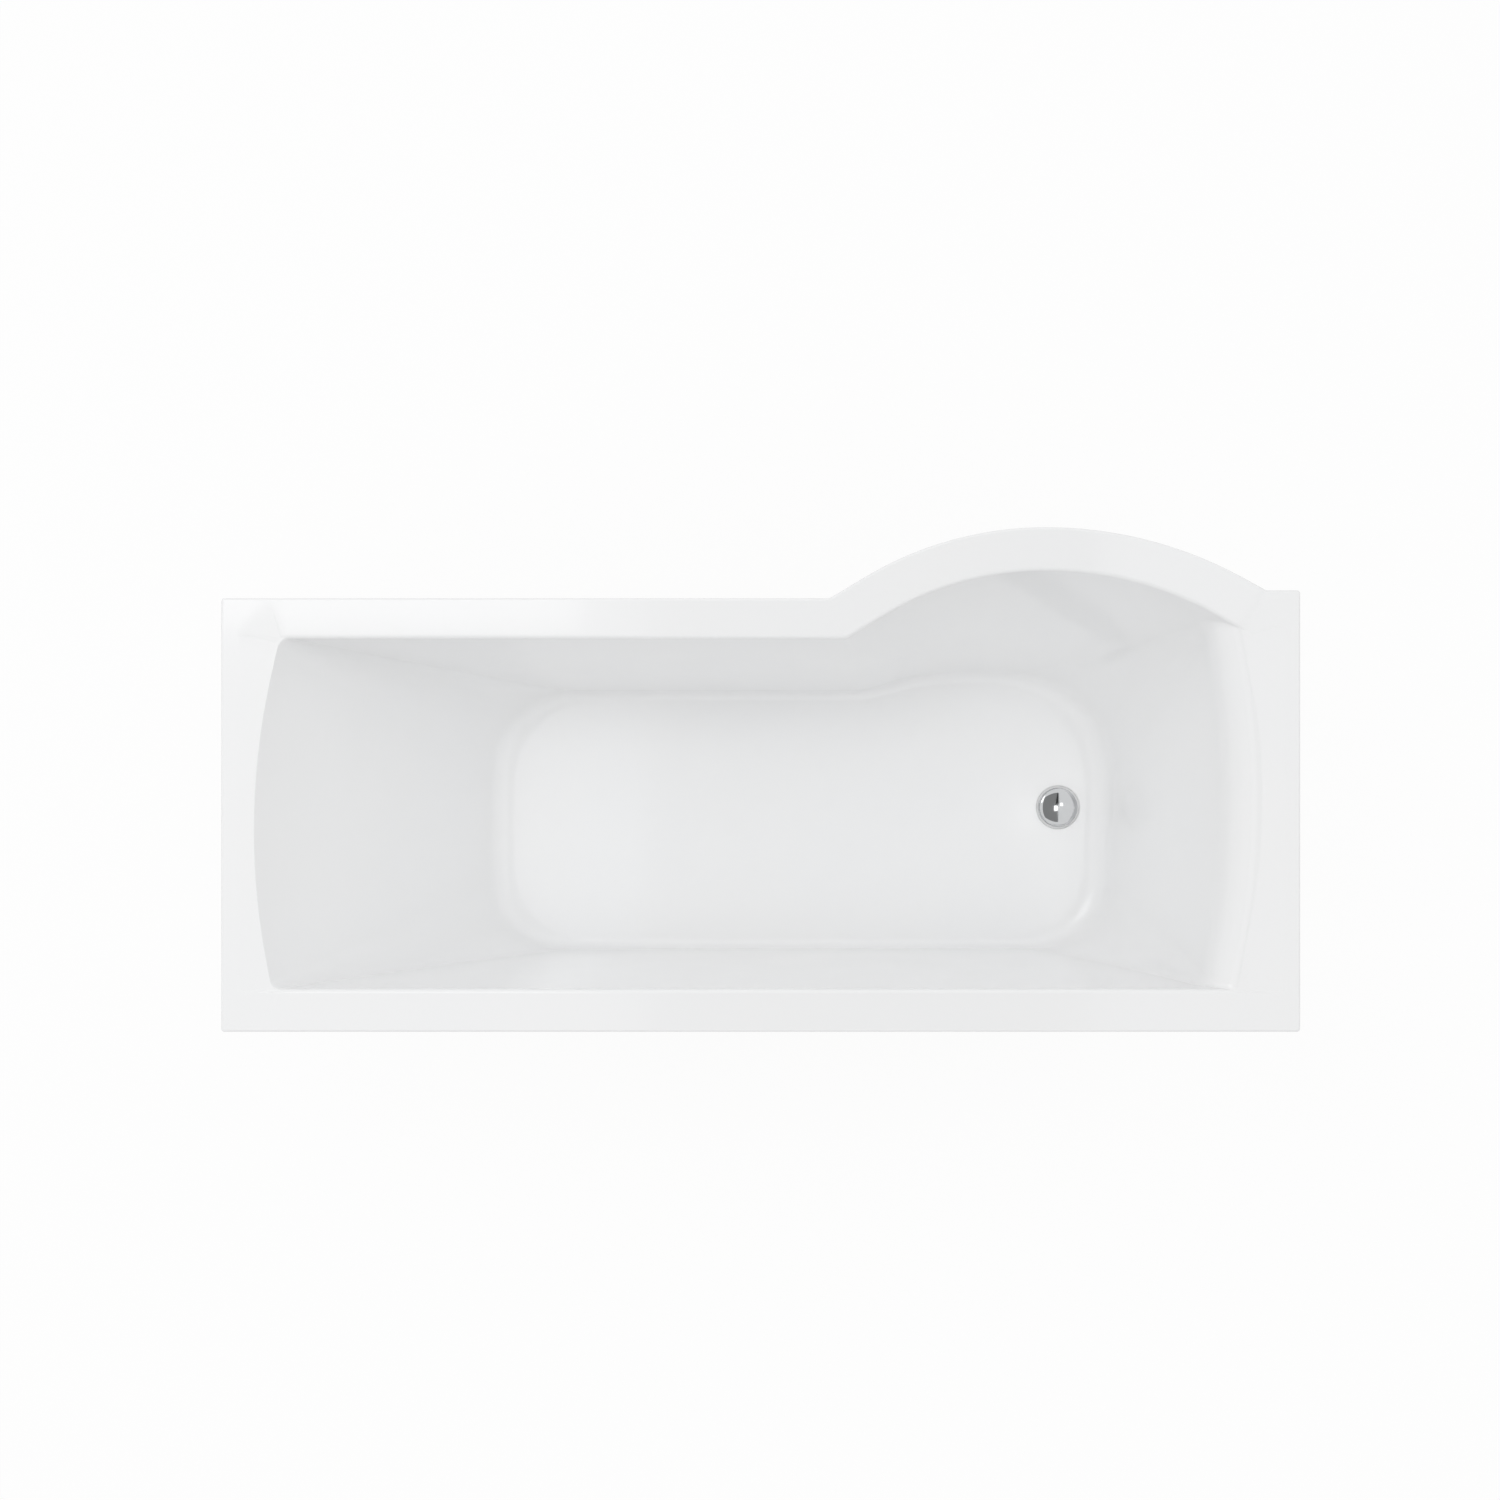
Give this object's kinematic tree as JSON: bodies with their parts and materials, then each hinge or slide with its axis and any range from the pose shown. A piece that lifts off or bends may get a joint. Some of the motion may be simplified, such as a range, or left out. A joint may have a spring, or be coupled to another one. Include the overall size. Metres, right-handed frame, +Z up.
{
  "type": "shower bath",
  "caption": "Acrylic bath with a straight wall side and a front that bows out at the waste end, on a steel cradle with levelling feet and a push-to-close waste.",
  "frame": {"origin": "on the floor, below the middle of the rim's bounding box", "axes": "+X along the bath towards the head end, +Y towards the wall, +Z up; the bow is at -Y and the waste at -X"},
  "size_m": [1.7, 0.795, 0.55],
  "materials": {
    "white_acrylic": "glossy white acrylic sheet",
    "glass_fibre": "sprayed glass fibre and resin, rough",
    "chipboard": "raw chipboard",
    "batten": "sawn softwood",
    "galvanised_steel": "galvanised, dull spangle",
    "zinc_rod": "bright zinc plate",
    "screw": "bright zinc plate",
    "black_plastic": "moulded, fine grain",
    "chrome": "polished chrome plate",
    "brass": "turned brass",
    "spring_steel": "drawn stainless wire",
    "black_rubber": "matt moulded rubber"
  },
  "bodies": {
    "bath": {"bath_shell": "white_acrylic", "glass_fibre_backing": "glass_fibre", "baseboard": "chipboard", "wall_rim_batten": "batten", "head_rim_batten": "batten", "waste_rim_batten": "batten", "front_rim_batten": "batten", "bow_rim_batten": "batten", "bar_screws": "screw", "post_screws": "screw", "bracket_screws": "screw", "upper_lock_nuts": "screw", "lower_lock_nuts": "screw", "head_wall_bracket": "galvanised_steel", "waste_wall_bracket": "galvanised_steel", "waste_body": "chrome", "waste_flange_seal": "black_rubber", "waste_washer": "black_rubber", "waste_back_nut": "brass", "waste_catch": "brass", "waste_spring": "spring_steel", "head_cross_bar": "galvanised_steel", "head_front_post": "galvanised_steel", "head_wall_post": "galvanised_steel", "middle_cross_bar": "galvanised_steel", "middle_front_post": "galvanised_steel", "middle_wall_post": "galvanised_steel", "waste_cross_bar": "galvanised_steel", "waste_front_post": "galvanised_steel", "waste_wall_post": "galvanised_steel"},
    "head_front_foot": {"head_front_foot_rod": "zinc_rod", "head_front_foot_pad": "black_plastic"},
    "head_wall_foot": {"head_wall_foot_rod": "zinc_rod", "head_wall_foot_pad": "black_plastic"},
    "middle_front_foot": {"middle_front_foot_rod": "zinc_rod", "middle_front_foot_pad": "black_plastic"},
    "middle_wall_foot": {"middle_wall_foot_rod": "zinc_rod", "middle_wall_foot_pad": "black_plastic"},
    "waste_front_foot": {"waste_front_foot_rod": "zinc_rod", "waste_front_foot_pad": "black_plastic"},
    "waste_wall_foot": {"waste_wall_foot_rod": "zinc_rod", "waste_wall_foot_pad": "black_plastic"},
    "plug": {"waste_spindle": "spring_steel", "waste_plug_cap": "chrome", "waste_plug_seal": "black_rubber"}
  },
  "joints": [
    {"name": "head_front_foot_height", "type": "slide", "parent": "bath", "child": "head_front_foot", "axis": [0, 0, 1], "range_m": [-0.02, 0.02]},
    {"name": "head_wall_foot_height", "type": "slide", "parent": "bath", "child": "head_wall_foot", "axis": [0, 0, 1], "range_m": [-0.02, 0.02]},
    {"name": "middle_front_foot_height", "type": "slide", "parent": "bath", "child": "middle_front_foot", "axis": [0, 0, 1], "range_m": [-0.02, 0.02]},
    {"name": "middle_wall_foot_height", "type": "slide", "parent": "bath", "child": "middle_wall_foot", "axis": [0, 0, 1], "range_m": [-0.02, 0.02]},
    {"name": "waste_front_foot_height", "type": "slide", "parent": "bath", "child": "waste_front_foot", "axis": [0, 0, 1], "range_m": [-0.02, 0.02]},
    {"name": "waste_wall_foot_height", "type": "slide", "parent": "bath", "child": "waste_wall_foot", "axis": [0, 0, 1], "range_m": [-0.02, 0.02]},
    {"name": "plug_lift", "type": "slide", "parent": "bath", "child": "plug", "axis": [0, 0, 1], "range_m": [0, 0.009], "deforming": ["waste_spring"]}
  ]
}
